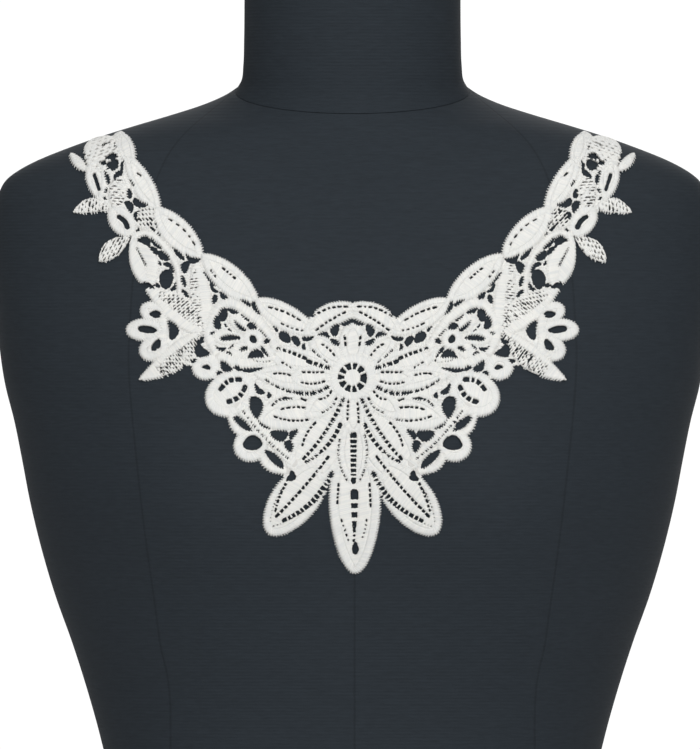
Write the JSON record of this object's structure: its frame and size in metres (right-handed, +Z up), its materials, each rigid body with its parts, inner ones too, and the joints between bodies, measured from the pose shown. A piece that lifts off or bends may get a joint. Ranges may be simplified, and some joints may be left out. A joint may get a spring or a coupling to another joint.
{
  "type": "embroidered lace neckline on a limbless dress form",
  "caption": "White embroidered guipure lace neckline with a centre flower, leaves and pointed petals, laid over the front and shoulders of a dark limbless dress form.",
  "frame": {"origin": "centre of the flat underside of the dress form", "axes": "+Z up, the front of the form and the neckline face -Y, the wearer's left is +X"},
  "size_m": [0.378, 0.2218, 0.6283],
  "materials": {
    "lace": "matte satin-stitched thread",
    "form_cover": "fine ribbed weave, matte",
    "form_board": "plain matte"
  },
  "bodies": {
    "root": {"lace_front": "lace", "lace_strap_left": "lace", "lace_strap_right": "lace", "form_torso": "form_cover", "form_neck": "form_cover", "form_neck_cap": "form_board", "form_base_board": "form_board"}
  },
  "joints": []
}
